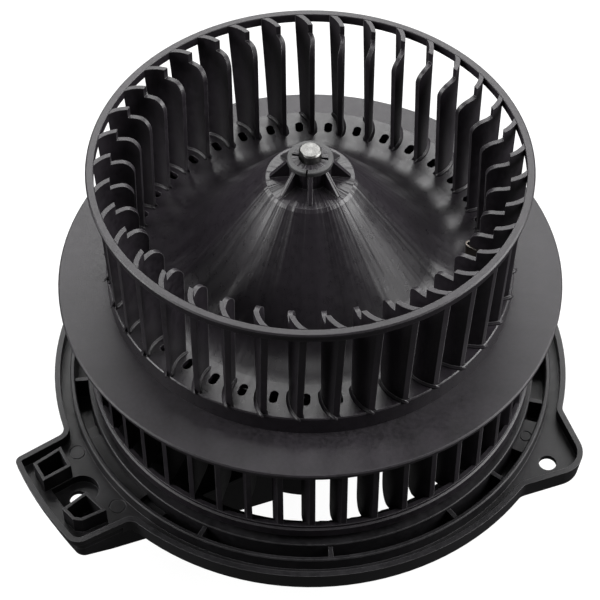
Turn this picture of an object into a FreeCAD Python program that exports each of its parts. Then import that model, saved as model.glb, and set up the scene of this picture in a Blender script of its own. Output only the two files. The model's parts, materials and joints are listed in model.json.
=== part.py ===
"""Blower motor assembly: two-tier centrifugal wheel on a brushed motor in a moulded mounting flange.

Millimetres, +Z up along the wheel's axis.  The origin is on that axis, in the plane of the flange's rim.
"""

import FreeCAD, Part
import math
import os

os.makedirs("parts", exist_ok=True)

V = FreeCAD.Vector
UP = V(0, 0, 1)

# ---- Mounting flange -------------------------------------------------------------------------
FLANGE_R = 99.05          # outline between the ears, at the rim's top
PLATE_TOP = -4.8          # flat floor outside the locating wall
PLATE_BOTTOM = -6.8
SKIRT_BOTTOM = -8.7       # the rim's outer wall runs down past the floor
SKIRT_DRAFT = 0.95        # and draws in by this much
LIP_WIDTH = 2.1           # raised rim that follows the whole outline, its top at z = 0
SPIGOT_R = 93.0           # locating wall that enters the fan housing
SPIGOT_INNER_R = 91.2
SPIGOT_TOP = 1.0
TROUGH_FLOOR_TOP = -11.0
TROUGH_FLOOR_BOTTOM = -13.0
INNER_WALL_R = 86.2
INNER_WALL_INNER_R = 84.4
INLET_TOP = 0.5
INLET_BOTTOM = -2.0
INLET_R = 75.0            # air inlet of the lower tier
RIB_TOP = -0.8
RIB_THICKNESS = 1.6
RIB_PITCH = 31.2
RIB_SHIFT = 0.4           # degrees from the middle between two ears
RIB_BESIDE_EAR = 12.6     # degrees either side of each small ear
PLATFORM_TOP = -3.0
PLATFORM_HALF_ANGLE = 4.9
DUCT_PLATFORM_HALF_ANGLE = 11.0
PLATFORM_ANGLES = {"right": -23.1, "rear": 96.9}
MARK_WIDTH = 0.4          # round moulding marks
MARK_DEPTH = 0.3
EAR_ANGLES = {"duct": -145.5, "right": -25.5, "rear": 94.5}
EAR_HOLE_R = 3.3
SMALL_EAR_CENTRE = 101.2  # corner centre of the two small ears
SMALL_EAR_CORNER_R = 10.9
SMALL_EAR_HOLES = ((100.4, -27.2), (101.2, 94.5))
DUCT_EAR_REACH = 120.4
DUCT_EAR_EDGE_R = 150.0   # the ear's outer edge bows outwards
DUCT_EAR_BOW_AT = 2.0     # sideways place of the furthest point of that bow
DUCT_EAR_REAR = 23.2      # distance of the straight rear side from the ear's axis
DUCT_EAR_FRONT = 22.6     # and of the front side, at the outer edge
DUCT_EAR_FLARE = 0.092    # the front side spreads towards the middle of the flange
DUCT_EAR_CORNER_R = 5.5
DUCT_EAR_REAR_CORNER_R = 2.8
SMALLEST_CORNER_R = 0.6
DUCT_EAR_LIP_DEPTH = 3.0  # the ear and its duct step in below the lip
DUCT_INSET = 1.0
DUCT_SETBACK = 1.3        # further step at the outer edge
DUCT_STEP_START = 99.6
DUCT_EAR_HOLE_AT = 105.0
DUCT_MARK_PLACES = ((95.8, -15.7), (95.9, 13.8))
EAR_FILLET_R = 3.5

# ---- Cooling-air sockets and duct ------------------------------------------------------------
SOCKET_CORNERS = (((101.7, -16.7), (102.9, -6.9), (114.8, -6.8), (114.0, -15.7)),
                  ((104.1, 6.3), (102.2, 17.5), (111.8, 16.5), (114.4, 14.2), (115.2, 8.0)))
SOCKET_WALL = 1.15
SOCKET_TOP = 2.6
RECESS_HALF_WIDTH = 6.5
RECESS_WALL = 1.5
RECESS_FLOOR = -8.6
RECESS_UNDERSIDE = -10.8
RECESS_START = 103.2
RECESS_END = 112.5
DUCT_ROOF_TOP = -6.0      # where the duct passes under the trough
DUCT_OUTER_Z = -10.2      # underside of the duct at its outer end
DUCT_OUTER_AT = 118.0
DUCT_STEEP_SLOPE = 0.33   # fall of the duct's floor as far as its knee
DUCT_KNEE_AT = 104.0
DUCT_SLOPE = 0.25         # and from there to the motor
DUCT_WALL = 1.6
CHAMBER_R = 41.2          # round end of the duct around the motor cup
CHAMBER_BOTTOM = -33.3
CHAMBER_HALF_ANGLE = 57.5
DUCT_SCREW_PLACES = ((66.0, 16.5), (66.0, -16.5), (96.5, 16.5), (96.5, -16.5))
DUCT_POST_R = 3.2
DUCT_PAD_R = 4.4
DUCT_PAD_TOP = 2.6        # above the duct's underside, where the post meets the cover
DUCT_PAD_DROP = 1.2
DUCT_SCREW_R = 1.5
DUCT_SCREW_HEAD_R = 3.0
DUCT_SCREW_LENGTH = 8.0

# ---- Motor cup and arms ----------------------------------------------------------------------
CUP_R = 35.2
CUP_INNER_R = 33.2
CUP_TOP = 14.0
CUP_BOTTOM = -29.0
CUP_SEAT_TOP = -27.0
CUP_MOUTH_R = 22.0
ARM_WIDTH = 10.0
ARM_RIB = 2.4
MOTOR_SCREW_AT = 26.5
MOTOR_SCREW_ANGLES = (-85.5, 34.5, 154.5)
MOTOR_SCREW_R = 2.0
MOTOR_SCREW_HEAD_R = 3.6
ISOLATOR_TOP = -25.4

# ---- Motor -----------------------------------------------------------------------------------
CAN_R = 31.5
CAN_WALL = 1.6
CAN_BOTTOM = -23.4
CAN_TOP = 52.0
BEARING_R = 7.0
BEARING_LENGTH = 7.4
UPPER_BEARING_Z = 55.4
LOWER_BEARING_Z = -24.5
BEARING_CLEARANCE = 0.04
SHAFT_R = 4.0
SHAFT_BOTTOM = -28.6
SHAFT_TOP = 116.4
SHAFT_FLAT = 3.25         # distance of the D-flat from the axis
SHAFT_FLAT_BOTTOM = 96.0
SHAFT_FLAT_ANGLE = 207.0
MAGNET_R = 29.6
MAGNET_INNER_R = 22.6
MAGNET_Z = (-2.0, 42.0)
MAGNET_HALF_ANGLE = 62.0
CORE_R = 21.9
CORE_Z = (2.0, 38.0)
SLOTS = 12
SLOT_AT = 16.4
SLOT_R = 2.7
SLOT_MOUTH = 1.8
BAR_R = 9.5
BAR_INNER_R = 6.5
BAR_Z = (-19.0, -7.0)
CARD_Z = (-18.2, -16.6)
CARD_R = 28.5
BRUSH_WIDTH = 6.0
BRUSH_TAIL = 19.5
BRUSH_Z = (-15.4, -9.4)
HOLDER_WALL = 0.8
HOLDER_RANGE = (11.4, 24.0)

# ---- Wheel -----------------------------------------------------------------------------------
SHELF_R = 92.7
SHELF_TOP = 53.0
SHELF_THICKNESS = 2.6
SHELF_INNER_R = 60.0
RING_R = 78.0
RING_INNER_R = 75.2
RING_TOP = 110.7
RING_BOTTOM = 107.1
EDGE_BREAK = 0.2
PETAL_R = 74.5
PETAL_TOP = 61.0           # flat outer part of the hub cone, which carries the upper blades
UPPER_BLADES = 37
UPPER_PITCH = 360.0 / UPPER_BLADES
UPPER_FIRST = -91.6
UPPER_INNER_R = 61.6
UPPER_FOOT_INNER_R = 62.8   # the blades narrow a little towards their feet
UPPER_FOOT_OUTER_R = 73.8
UPPER_STEP_R = 69.6       # the blade tops drop inside this radius
UPPER_STEP_Z = 106.5
UPPER_CORNER_R = 4.7
VENT_AT = 66.0
VENT_WIDTH = 2.95
VENT_LENGTH = 5.2
VENT_TURN = 0.4
LOWER_BLADES = 46
LOWER_FIRST = -89.4
LOWER_OUTER_R = 83.4
LOWER_INNER_R = 70.5
LOWER_BLADE_BOTTOM = 5.0
LOWER_BELLMOUTH_R = 12.0  # height of the sweep that opens the inner edges at the bottom
LOWER_RING_R = 84.6
LOWER_RING_INNER_R = 82.2
LOWER_RING_Z = (4.1, 9.3)
UPPER_BLADE_THICKNESS = 1.65
LOWER_BLADE_THICKNESS = 1.5

CLIP_BLADE = 7            # the blade that carries the balance clip
CLIP_Z = (88.5, 99.2)
CLIP_LEG = 10.5
CLIP_SHEET = 0.45
CLIP_BEND_GAP = 0.5

# ---- Hub -------------------------------------------------------------------------------------
CONE_SHOULDER = (15.6, 102.9)
CONE_LINE_START = (16.8, 101.9)
CONE_LINE_FOOT_R = 50.0     # where the cone's straight side would meet the petals' plane
CONE_FLARE_R = 20.0
CONE_THICKNESS = 2.2
DISH_Z = 104.0
COLLAR_R = 7.25
COLLAR_STEP_R = 6.4       # seat of the clamp ring
COLLAR_TOP = 112.8
CLAMP_Z = 111.0
CLAMP_R = 8.07
HUB_TUBE_R = 8.0
HUB_TUBE_BOTTOM = 66.0
GUSSETS = 8
GUSSET_THICKNESS = 1.5
GUSSET_REACH = 14.2


def ring(outer, inner, low, high):
    """A plain tube about the axis."""
    body = Part.makeCylinder(outer, high - low, V(0, 0, low))
    return body.cut(Part.makeCylinder(inner, high - low + 2, V(0, 0, low - 1)))


def disc(radius, low, high, x=0.0, y=0.0):
    return Part.makeCylinder(radius, high - low, V(x, y, low))


def polar(radius, angle, z=0.0):
    turn = math.radians(angle)
    return V(radius * math.cos(turn), radius * math.sin(turn), z)


def turned(shape, angle):
    """A copy turned about the wheel's axis."""
    copy = shape.copy()
    copy.rotate(V(0, 0, 0), UP, angle)
    return copy


def box(x0, x1, y0, y1, z0, z1):
    return Part.makeBox(x1 - x0, y1 - y0, z1 - z0, V(x0, y0, z0))


def revolved(points):
    """A solid of revolution from a closed outline of (radius, z) points and arcs.

    Three points in a tuple of tuples stand for an arc through the middle one.
    """
    edges = []
    here = None
    first = None
    for item in points:
        if isinstance(item[0], tuple):
            through = V(item[0][0], 0, item[0][1])
            target = V(item[1][0], 0, item[1][1])
            edges.append(Part.Arc(here, through, target).toShape())
        else:
            target = V(item[0], 0, item[1])
            if here is not None:
                edges.append(Part.makeLine(here, target))
        if first is None:
            first = target
        here = target
    edges.append(Part.makeLine(here, first))
    face = Part.Face(Part.Wire(edges))
    return face.revolve(V(0, 0, 0), UP, 360)


def sector(outer, inner, low, high, middle, half_angle):
    """A piece of a tube, centred on one direction."""
    first, last = middle - half_angle, middle + half_angle
    arc_out, arc_in = [Part.Arc(*[polar(radius, turn, low) for turn in (first, middle, last)]).toShape()
                       for radius in (outer, inner)]
    side_a = Part.makeLine(polar(inner, first, low), polar(outer, first, low))
    side_b = Part.makeLine(polar(inner, last, low), polar(outer, last, low))
    face = Part.Face(Part.Wire([side_a, arc_out, side_b, arc_in]))
    return face.extrude(V(0, 0, high - low))


def spaced(shape, first, count):
    """Copies of a shape all the way round the axis."""
    return Part.makeCompound([turned(shape, first + 360.0 * step / count) for step in range(count)])


def write(shape, node):
    solid = shape.removeSplitter()
    solid.exportStep("parts/" + node + ".step")
    print("%-24s solids %2d  valid %s" % (node, len(solid.Solids), solid.isValid()))


# ---- Flange ----------------------------------------------------------------------------------
def duct_prism(inset, low, high, start, setback=0.0):
    """The duct ear's plan drawn in by inset, from a distance out to its bowed edge, lying along +X.

    Setback draws the outer edge in further.
    """
    centre = DUCT_EAR_REACH - DUCT_EAR_EDGE_R
    radius = DUCT_EAR_EDGE_R - inset - setback

    def edge_at(side):
        return centre + math.sqrt(radius ** 2 - (side - DUCT_EAR_BOW_AT) ** 2)

    rear = inset - DUCT_EAR_REAR
    front = DUCT_EAR_FRONT - inset
    spread = front + (edge_at(front) - start) * DUCT_EAR_FLARE
    rear_corner = V(edge_at(rear), rear, low)
    front_corner = V(edge_at(front), front, low)
    bow = Part.Arc(rear_corner, V(centre + radius, DUCT_EAR_BOW_AT, low), front_corner).toShape()
    sides = Part.makePolygon([front_corner, V(start, spread, low), V(start, rear, low), rear_corner])
    prism = Part.Face(Part.Wire([bow] + sides.Edges)).extrude(V(0, 0, high - low))
    for side, corner_r in ((rear, DUCT_EAR_REAR_CORNER_R), (front, DUCT_EAR_CORNER_R)):
        corner = [edge for edge in prism.Edges
                  if edge.BoundBox.XLength < 0.01 and edge.BoundBox.XMin > 110
                  and abs(edge.BoundBox.YMin - side) < 0.01 and edge.BoundBox.YLength < 0.01]
        prism = prism.makeFillet(max(corner_r - inset - setback, SMALLEST_CORNER_R), corner)
    return prism


def outline_face():
    """The flange's outline in the XY plane, with its three ears."""
    low, high = 0, 1
    body = disc(FLANGE_R, low, high)
    reach = SMALL_EAR_CENTRE
    touch = SMALL_EAR_CORNER_R * math.sqrt(0.5)
    depth = 40
    for name in ("right", "rear"):
        tangents = Part.makePolygon([V(reach + touch, touch, 0), V(reach + touch, -touch, 0),
                                     V(reach + touch - depth, -touch - depth, 0),
                                     V(reach + touch - depth, touch + depth, 0), V(reach + touch, touch, 0)])
        ear = Part.Face(tangents).extrude(V(0, 0, high))
        ear = ear.fuse(disc(SMALL_EAR_CORNER_R, low, high, reach))
        body = body.fuse(turned(ear, EAR_ANGLES[name]))
    duct_ear = duct_prism(0, low, high, 40)
    body = body.fuse(turned(duct_ear, EAR_ANGLES["duct"])).removeSplitter()
    inner_corners = []
    for edge in body.Edges:
        box = edge.BoundBox
        upright = box.ZLength > 0.5 and box.XLength < 0.01 and box.YLength < 0.01
        middle = edge.BoundBox.Center
        if upright and abs(math.hypot(middle.x, middle.y) - FLANGE_R) < 0.2:
            inner_corners.append(edge)
    body = body.makeFillet(EAR_FILLET_R, inner_corners)
    for face in body.Faces:
        if face.BoundBox.ZMax < 0.001:
            return face
    raise ValueError("no bottom face")


def layer(face, low, high):
    copy = face.copy()
    copy.translate(V(0, 0, low))
    return copy.extrude(V(0, 0, high - low))


def duct_floor(at):
    """Height of the duct's underside at a distance from the axis."""
    steep = DUCT_OUTER_AT - max(at, DUCT_KNEE_AT)
    gentle = max(0.0, DUCT_KNEE_AT - at)
    return DUCT_OUTER_Z - steep * DUCT_STEEP_SLOPE - gentle * DUCT_SLOPE


def below_duct(lift):
    """Everything under the duct's sloping floor, raised by lift."""
    inner_at, outer_at, deep = 30.0, 125.0, -60.0
    outline = [V(at, -60, duct_floor(at) + lift) for at in (inner_at, DUCT_KNEE_AT, outer_at)]
    outline += [V(outer_at, -60, deep), V(inner_at, -60, deep), outline[0]]
    return Part.Face(Part.makePolygon(outline)).extrude(V(0, 120, 0))


def stadium(start, end, half_width, low, high):
    body = disc(half_width, low, high, start)
    return body.fuse(box(start, end, -half_width, half_width, low, high))


def make_flange():
    face = outline_face()
    inner_face = face.makeOffset2D(-LIP_WIDTH)
    foot = face.makeOffset2D(-SKIRT_DRAFT)
    foot.translate(V(0, 0, SKIRT_BOTTOM))
    plate = Part.makeLoft([foot.Wires[0], face.Wires[0]], True, True)
    plate = plate.cut(layer(inner_face, PLATE_TOP, 1))
    plate = plate.cut(layer(face.makeOffset2D(-LIP_WIDTH - SKIRT_DRAFT), SKIRT_BOTTOM - 1, PLATE_BOTTOM))
    plate = plate.cut(disc(SPIGOT_INNER_R, -20, 5))
    spigot = revolved([(SPIGOT_INNER_R, TROUGH_FLOOR_BOTTOM), (SPIGOT_R, TROUGH_FLOOR_BOTTOM),
                       (SPIGOT_R, SPIGOT_TOP - 0.4), (SPIGOT_R - 0.4, SPIGOT_TOP),
                       (SPIGOT_INNER_R + 0.4, SPIGOT_TOP), (SPIGOT_INNER_R, SPIGOT_TOP - 0.4)])
    trough = ring(SPIGOT_R, INNER_WALL_INNER_R, TROUGH_FLOOR_BOTTOM, TROUGH_FLOOR_TOP)
    inlet = revolved([(INLET_R, INLET_TOP - 1.2),
                      ((INLET_R + 0.35, INLET_TOP - 0.35), (INLET_R + 1.2, INLET_TOP)),
                      (INNER_WALL_R - 0.3, INLET_TOP), (INNER_WALL_R, INLET_TOP - 0.3),
                      (INNER_WALL_R, TROUGH_FLOOR_BOTTOM), (INNER_WALL_INNER_R, TROUGH_FLOOR_BOTTOM),
                      (INNER_WALL_INNER_R, INLET_BOTTOM), (INLET_R, INLET_BOTTOM)])
    pieces = [spigot, trough, inlet]
    rib = box(INNER_WALL_R - 0.5, SPIGOT_INNER_R + 0.5, -RIB_THICKNESS / 2, RIB_THICKNESS / 2,
              TROUGH_FLOOR_BOTTOM, RIB_TOP)
    ears = list(EAR_ANGLES.values())
    rib_angles = []
    for ear in ears:
        middle = ear + 60 + RIB_SHIFT
        rib_angles += [middle - RIB_PITCH, middle, middle + RIB_PITCH]
    for name, middle in PLATFORM_ANGLES.items():
        rib_angles += [EAR_ANGLES[name] - RIB_BESIDE_EAR, EAR_ANGLES[name] + RIB_BESIDE_EAR]
        pieces.append(sector(SPIGOT_INNER_R + 0.5, INNER_WALL_R - 0.5, TROUGH_FLOOR_TOP - 1,
                             PLATFORM_TOP, middle, PLATFORM_HALF_ANGLE))
    pieces += [turned(rib, angle) for angle in rib_angles]
    body = plate.multiFuse(pieces)

    # the duct runs under the platform beside its ear, so the trough is cut away below it
    duct = EAR_ANGLES["duct"]
    trough_bottom = TROUGH_FLOOR_BOTTOM - 1
    gap = duct_prism(0, trough_bottom, PLATE_BOTTOM, 70)
    body = body.cut(turned(gap, duct))
    band = ring(SPIGOT_INNER_R + 0.5, INNER_WALL_R - 0.5, PLATE_BOTTOM, PLATFORM_TOP)
    roof = band.common(turned(duct_prism(-0.2, PLATE_BOTTOM, DUCT_ROOF_TOP, 70), duct))
    platform = sector(SPIGOT_INNER_R + 0.5, INNER_WALL_R - 0.5, PLATE_BOTTOM, PLATFORM_TOP, duct,
                      DUCT_PLATFORM_HALF_ANGLE)

    # motor cup, its arms and the duct's roof
    cup = revolved([(CUP_MOUTH_R, CUP_BOTTOM), (CUP_R, CUP_BOTTOM), (CUP_R, CUP_TOP - 0.6),
                    (CUP_R - 0.6, CUP_TOP), (CUP_INNER_R, CUP_TOP), (CUP_INNER_R, CUP_SEAT_TOP),
                    (CUP_MOUTH_R, CUP_SEAT_TOP)])
    window = sector(CUP_R + 3, CUP_INNER_R - 3, -24.0, -9.0, duct, 24)
    cup = cup.cut(window)
    roof_plate = duct_prism(0, PLATE_BOTTOM, PLATE_TOP, CUP_R - 1.0)
    roof_plate = roof_plate.common(disc(INLET_R + 1.5, PLATE_BOTTOM, PLATE_TOP))
    roof_plate = roof_plate.fuse(sector(CHAMBER_R, CUP_R - 1.0, PLATE_BOTTOM, PLATE_TOP, 0,
                                        CHAMBER_HALF_ANGLE))
    roof_plate = turned(roof_plate, duct).cut(disc(CUP_R - 0.5, -20, 20))
    hanger = ring(INNER_WALL_R, INLET_R, PLATE_BOTTOM, INLET_BOTTOM + 0.5)
    hanger = hanger.common(turned(duct_prism(0, PLATE_BOTTOM, 0, 70), duct))
    arms = []
    for name in ("right", "rear"):
        arm = box(CUP_R - 1.0, INNER_WALL_INNER_R + 0.5, -ARM_WIDTH / 2, ARM_WIDTH / 2, -5.0, -1.5)
        arm = arm.fuse(box(CUP_R - 1.0, INNER_WALL_INNER_R + 0.5, -ARM_RIB / 2, ARM_RIB / 2, -14.0, -4.0))
        arm = arm.cut(disc(CUP_R - 0.5, -20, 20))
        arms.append(turned(arm, EAR_ANGLES[name]))

    # sockets, screw recess and posts for the duct's cover
    sockets = []
    bores = []
    for corners in SOCKET_CORNERS:
        points = [V(at, side, PLATE_BOTTOM) for at, side in corners]
        plan = Part.Face(Part.makePolygon(points + points[:1]))
        sockets.append(plan.extrude(V(0, 0, SOCKET_TOP - PLATE_BOTTOM)))
        bore = plan.makeOffset2D(-SOCKET_WALL)
        bore.translate(V(0, 0, -1))
        bores.append(bore.extrude(V(0, 0, SOCKET_TOP - PLATE_BOTTOM + 2)))
    deep = duct_floor(RECESS_START - RECESS_HALF_WIDTH) - 3
    column = stadium(RECESS_START, RECESS_END, RECESS_HALF_WIDTH + RECESS_WALL, deep, PLATE_TOP - 0.2)
    column = column.cut(below_duct(0))
    posts = [disc(DUCT_POST_R, duct_floor(at) + DUCT_PAD_TOP, PLATE_TOP - 0.3, at, side)
             for at, side in DUCT_SCREW_PLACES]
    duct_pieces = [turned(piece, duct) for piece in sockets + [column] + posts]
    body = body.multiFuse([roof, platform, cup, roof_plate, hanger] + arms + duct_pieces)

    cuts = [turned(bore, duct) for bore in bores]
    cuts.append(turned(stadium(RECESS_START, RECESS_END, RECESS_HALF_WIDTH, RECESS_FLOOR, 1), duct))
    recess = stadium(RECESS_START, RECESS_END, RECESS_HALF_WIDTH, deep - 1, RECESS_UNDERSIDE)
    cuts.append(turned(recess, duct))
    cuts.append(turned(disc(EAR_HOLE_R, -30, 5, DUCT_EAR_HOLE_AT), duct))
    for radius, angle in SMALL_EAR_HOLES:
        cuts.append(turned(disc(EAR_HOLE_R, -30, 5, radius), angle))
    for at, side in DUCT_SCREW_PLACES:
        tip = duct_floor(at) - DUCT_PAD_DROP + DUCT_SCREW_LENGTH
        cuts.append(turned(disc(DUCT_SCREW_R, -40, tip + 0.4, at, side), duct))
    step_low = PLATE_BOTTOM - 1
    step = duct_prism(-1, step_low, -DUCT_EAR_LIP_DEPTH, DUCT_STEP_START)
    step = step.cut(duct_prism(DUCT_INSET, step_low, -DUCT_EAR_LIP_DEPTH, DUCT_STEP_START - 1,
                               DUCT_SETBACK))
    cuts.append(turned(step, duct))
    for angle in MOTOR_SCREW_ANGLES:
        cuts.append(turned(disc(MOTOR_SCREW_R + 0.3, -40, -20, MOTOR_SCREW_AT), angle))
    mark = ring(3.2, 3.2 - MARK_WIDTH, PLATE_TOP - MARK_DEPTH, PLATE_TOP + 1)
    for at, side in DUCT_MARK_PLACES:
        placed = mark.copy()
        placed.translate(V(at, side, 0))
        cuts.append(turned(placed, duct))
    platform_mark = ring(2.4, 2.4 - MARK_WIDTH, PLATFORM_TOP - MARK_DEPTH, PLATFORM_TOP + 1)
    for angle in PLATFORM_ANGLES.values():
        placed = platform_mark.copy()
        placed.translate(polar((SPIGOT_INNER_R + INNER_WALL_R) / 2, angle))
        cuts.append(placed)
    return body.cut(Part.makeCompound(cuts))


def make_duct_cover():
    """Open trough under the duct ear that falls to a round chamber beside the motor cup."""
    inner_at = CUP_R + 1.5
    outer = duct_prism(DUCT_INSET, CHAMBER_BOTTOM, PLATE_BOTTOM, inner_at, DUCT_SETBACK).cut(below_duct(0))
    wedge = duct_prism(DUCT_INSET + DUCT_WALL, CHAMBER_BOTTOM, PLATE_BOTTOM + 1, inner_at, DUCT_SETBACK)
    wedge = wedge.cut(below_duct(DUCT_WALL))
    chamber = sector(CHAMBER_R, CUP_R + 0.1, CHAMBER_BOTTOM, PLATE_BOTTOM, 0, CHAMBER_HALF_ANGLE)
    under_cup = sector(CUP_R + 0.2, 24.0, CHAMBER_BOTTOM, CUP_BOTTOM - 0.1, 0, CHAMBER_HALF_ANGLE)
    body = outer.multiFuse([chamber, under_cup]).cut(disc(CUP_R + 0.1, CUP_BOTTOM - 0.1, 0))
    inner_angle = CHAMBER_HALF_ANGLE - 2.6
    hollow = sector(CHAMBER_R - DUCT_WALL, CUP_R - 2.0, CHAMBER_BOTTOM + DUCT_WALL, 0, 0, inner_angle)
    hollow_under = sector(CUP_R, 25.6, CHAMBER_BOTTOM + DUCT_WALL, CUP_BOTTOM + 1, 0, inner_angle)
    body = body.cut(wedge).cut(hollow).cut(hollow_under)
    pads = []
    holes = []
    for at, side in DUCT_SCREW_PLACES:
        floor = duct_floor(at)
        pads.append(disc(DUCT_PAD_R, floor - DUCT_PAD_DROP, floor + DUCT_PAD_TOP, at, side))
        holes.append(disc(DUCT_SCREW_R + 0.3, -60, floor + 3, at, side))
    body = body.multiFuse(pads)
    holes.append(stadium(RECESS_START, RECESS_END, RECESS_HALF_WIDTH + RECESS_WALL + 0.15, -30, 0))
    for angle in MOTOR_SCREW_ANGLES:
        holes.append(turned(disc(MOTOR_SCREW_HEAD_R + 1.0, -40, -20, MOTOR_SCREW_AT),
                            angle - EAR_ANGLES["duct"]))
    body = body.cut(Part.makeCompound(holes))
    return turned(body, EAR_ANGLES["duct"])


def pan_screw(shank_r, head_r, head_h, z_head, z_tip):
    """Pan-head screw pointing up, its head below z_head."""
    head = Part.makeCylinder(head_r, head_h, V(0, 0, z_head - head_h))
    rim = [edge for edge in head.Edges if edge.BoundBox.ZMax < z_head - head_h + 0.01]
    head = head.makeFillet(head_h * 0.45, rim)
    shank = Part.makeCylinder(shank_r, z_tip - z_head - shank_r, V(0, 0, z_head))
    tip = Part.makeCone(shank_r, 0.3 * shank_r, shank_r, V(0, 0, z_tip - shank_r))
    drive = box(-head_r * 0.55, head_r * 0.55, -0.4, 0.4, z_head - head_h - 1, z_head - head_h * 0.45)
    cross = turned(drive, 90)
    return head.multiFuse([shank, tip]).cut(drive.fuse(cross))


def make_duct_screws():
    solids = []
    for at, side in DUCT_SCREW_PLACES:
        pad = duct_floor(at) - DUCT_PAD_DROP
        screw = pan_screw(DUCT_SCREW_R, DUCT_SCREW_HEAD_R, 1.8, pad, pad + DUCT_SCREW_LENGTH)
        screw.translate(V(at, side, 0))
        solids.append(turned(screw, EAR_ANGLES["duct"]))
    return Part.makeCompound(solids)


def make_motor_screws():
    solids = []
    for angle in MOTOR_SCREW_ANGLES:
        screw = pan_screw(MOTOR_SCREW_R, MOTOR_SCREW_HEAD_R, 2.4, CUP_BOTTOM, -19.6)
        screw.translate(V(MOTOR_SCREW_AT, 0, 0))
        solids.append(turned(screw, angle))
    return Part.makeCompound(solids)


def make_isolators():
    solids = []
    for angle in MOTOR_SCREW_ANGLES:
        washer = ring(5.2, MOTOR_SCREW_R + 0.1, CUP_SEAT_TOP, ISOLATOR_TOP)
        washer.translate(V(MOTOR_SCREW_AT, 0, 0))
        solids.append(turned(washer, angle).common(disc(CUP_INNER_R - 0.2, -30, -20)))
    return Part.makeCompound(solids)


def make_isolator_ring():
    return revolved([(CAN_R, 8.0), (CUP_INNER_R, 8.0), (CUP_INNER_R, CUP_TOP), (CUP_R - 1.0, CUP_TOP),
                     (CUP_R - 1.0, CUP_TOP + 1.4), (CAN_R + 0.6, CUP_TOP + 1.4), (CAN_R, CUP_TOP + 0.8)])


# ---- Motor -----------------------------------------------------------------------------------
def make_can():
    """Deep-drawn yoke, closed at the top by the upper bearing's housing."""
    wall = CAN_R - CAN_WALL
    return revolved([(CAN_R, CAN_BOTTOM), (CAN_R, CAN_TOP - 3.0),
                     ((CAN_R - 0.88, CAN_TOP - 0.88), (CAN_R - 3.0, CAN_TOP)), (10.6, CAN_TOP),
                     (9.8, CAN_TOP + 0.8), (9.8, 60.0), (5.4, 60.0), (5.4, 59.2), (8.2, 59.2),
                     (8.2, CAN_TOP - CAN_WALL), (wall - 1.6, CAN_TOP - CAN_WALL), (wall, CAN_TOP - 3.2),
                     (wall, CAN_BOTTOM)])


def make_end_cap():
    """Moulded lower end of the motor, which seats in the can and holds the lower bearing."""
    cap = revolved([(7.6, -29.0), (9.8, -29.0), (9.8, ISOLATOR_TOP), (CAN_R, ISOLATOR_TOP),
                    (CAN_R, CAN_BOTTOM), (CAN_R - CAN_WALL, CAN_BOTTOM), (CAN_R - CAN_WALL, -18.2),
                    (28.5, -18.2), (28.5, CAN_BOTTOM), (9.8, CAN_BOTTOM), (9.8, -20.2), (7.6, -20.2)])
    bosses = [turned(disc(3.3, CAN_BOTTOM - 0.5, -18.2, MOTOR_SCREW_AT - 0.4), angle)
              for angle in MOTOR_SCREW_ANGLES]
    cap = cap.multiFuse([boss.common(disc(28.8, -30, 0)) for boss in bosses])
    floor = disc(8.6, -30.4, -29.0)
    cap = cap.fuse(floor)
    cuts = [turned(disc(MOTOR_SCREW_R, -30, -19.0, MOTOR_SCREW_AT), angle) for angle in MOTOR_SCREW_ANGLES]
    for side in (-1, 1):
        cuts.append(turned(box(13.7, 14.7, side * 4.4 - 3.3, side * 4.4 + 3.3, -30, -10),
                           EAR_ANGLES["duct"] + 180))
    for angle in (EAR_ANGLES["duct"] - 22, EAR_ANGLES["duct"] + 22):
        cuts.append(sector(24.0, 16.0, -30, -20, angle, 12))
    return cap.cut(Part.makeCompound(cuts))


def make_bearing(middle):
    """Self-aligning sintered bush: a ball with its ends cut flat."""
    ball = Part.makeSphere(BEARING_R, V(0, 0, middle))
    half = BEARING_LENGTH / 2
    ball = ball.common(disc(BEARING_R + 1, middle - half, middle + half))
    return ball.cut(disc(SHAFT_R + BEARING_CLEARANCE, middle - 10, middle + 10))


def make_retainer(low, outer):
    """Star-shaped spring plate that holds a bearing in its seat."""
    plate = ring(outer, SHAFT_R + 1.2, low, low + 0.5)
    notch = box(SHAFT_R + 2.0, outer - 1.2, -0.5, 0.5, low - 1, low + 1)
    return plate.cut(Part.makeCompound([turned(notch, 60.0 * step) for step in range(6)]))


def make_magnet(angle):
    return sector(MAGNET_R, MAGNET_INNER_R, MAGNET_Z[0], MAGNET_Z[1], angle, MAGNET_HALF_ANGLE)


def make_magnet_springs():
    """Two U-shaped springs that push the magnets apart."""
    solids = []
    for angle in (90, 270):
        spring = sector(MAGNET_R - 0.2, MAGNET_R - 1.0, 4, 36, angle, 27)
        for side in (-1, 1):
            leg = sector(MAGNET_R - 0.2, MAGNET_R - 6.0, 4, 36, angle + side * 26.2, 0.8)
            spring = spring.fuse(leg)
        solids.append(spring)
    return Part.makeCompound(solids)


def slot_cutter(low, high, radius):
    cutter = disc(radius, low, high, SLOT_AT)
    return cutter.fuse(box(SLOT_AT, CORE_R + 2, -SLOT_MOUTH / 2, SLOT_MOUTH / 2, low, high))


def make_core(low, high, bore):
    core = ring(CORE_R, bore, low, high)
    cutter = slot_cutter(low - 1, high + 1, SLOT_R)
    return core.cut(Part.makeCompound([turned(cutter, 360.0 / SLOTS * step) for step in range(SLOTS)]))


def make_slot_insulators():
    top = make_core(CORE_Z[1], CORE_Z[1] + 0.6, SHAFT_R + 1.0)
    bottom = make_core(CORE_Z[0] - 0.6, CORE_Z[0], SHAFT_R + 1.0)
    return Part.makeCompound([top, bottom])


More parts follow.
